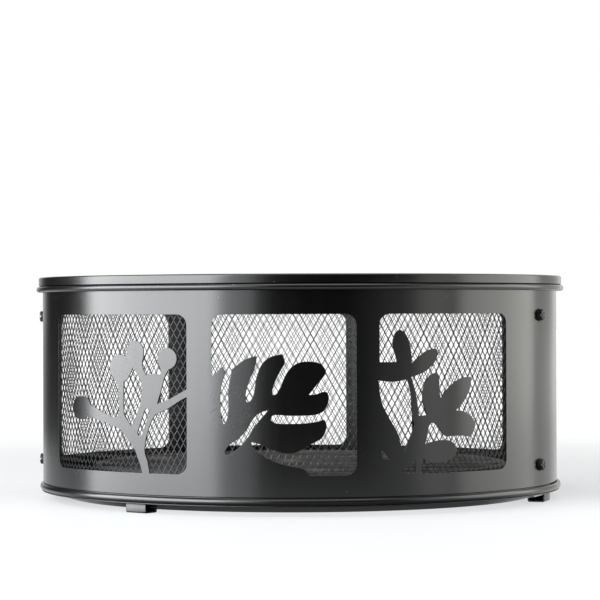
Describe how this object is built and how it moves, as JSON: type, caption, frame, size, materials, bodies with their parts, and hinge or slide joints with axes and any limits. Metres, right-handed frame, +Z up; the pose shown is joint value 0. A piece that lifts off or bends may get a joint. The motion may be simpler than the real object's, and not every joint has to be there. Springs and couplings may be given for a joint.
{
  "type": "fire pit",
  "caption": "Low round steel fire pit: a drum wall with leaf and berry cut-outs over expanded-steel screens, a dished base pan on feet and a lift-out fire grate.",
  "frame": {"origin": "on the ground at the drum's axis, under the middle of the base pan", "axes": "+Z up along the drum's axis; the middle front window faces -Y; +X is to the right seen from the front"},
  "size_m": [0.7619, 0.762, 0.3175],
  "materials": {
    "wall_coating": "satin black high-temperature powder coat on rolled sheet steel",
    "rim_coating": "satin black coat, slightly rubbed along the rolled edges",
    "pan_coating": "satin black coat, matt on the fire side",
    "screen_steel": "black coated expanded steel",
    "foot_steel": "dark grey coated folded steel",
    "fastener_steel": "black oxide steel",
    "grate_steel": "matt black steel rod with a light scale"
  },
  "bodies": {
    "drum": {"front_wall_panel": "wall_coating", "rear_wall_panel": "wall_coating", "top_rim": "rim_coating", "top_bead": "rim_coating", "bottom_bead": "rim_coating", "base_pan": "pan_coating", "screen_front_left": "screen_steel", "screen_front_middle": "screen_steel", "screen_front_right": "screen_steel", "screen_rear_1": "screen_steel", "screen_rear_2": "screen_steel", "screen_rear_3": "screen_steel", "screen_rear_4": "screen_steel", "foot_front_left": "foot_steel", "foot_front_right": "foot_steel", "foot_rear_right": "foot_steel", "foot_rear_left": "foot_steel", "seam_screws": "fastener_steel", "seam_washers": "fastener_steel", "seam_nuts": "fastener_steel"},
    "grate": {"grate_hoop": "grate_steel", "grate_bars": "grate_steel", "grate_cross_bars": "grate_steel", "grate_legs": "grate_steel"}
  },
  "joints": [
    {"name": "grate_lift", "type": "slide", "parent": "drum", "child": "grate", "axis": [0, 0, 1], "range_m": [0, 0.35]}
  ]
}
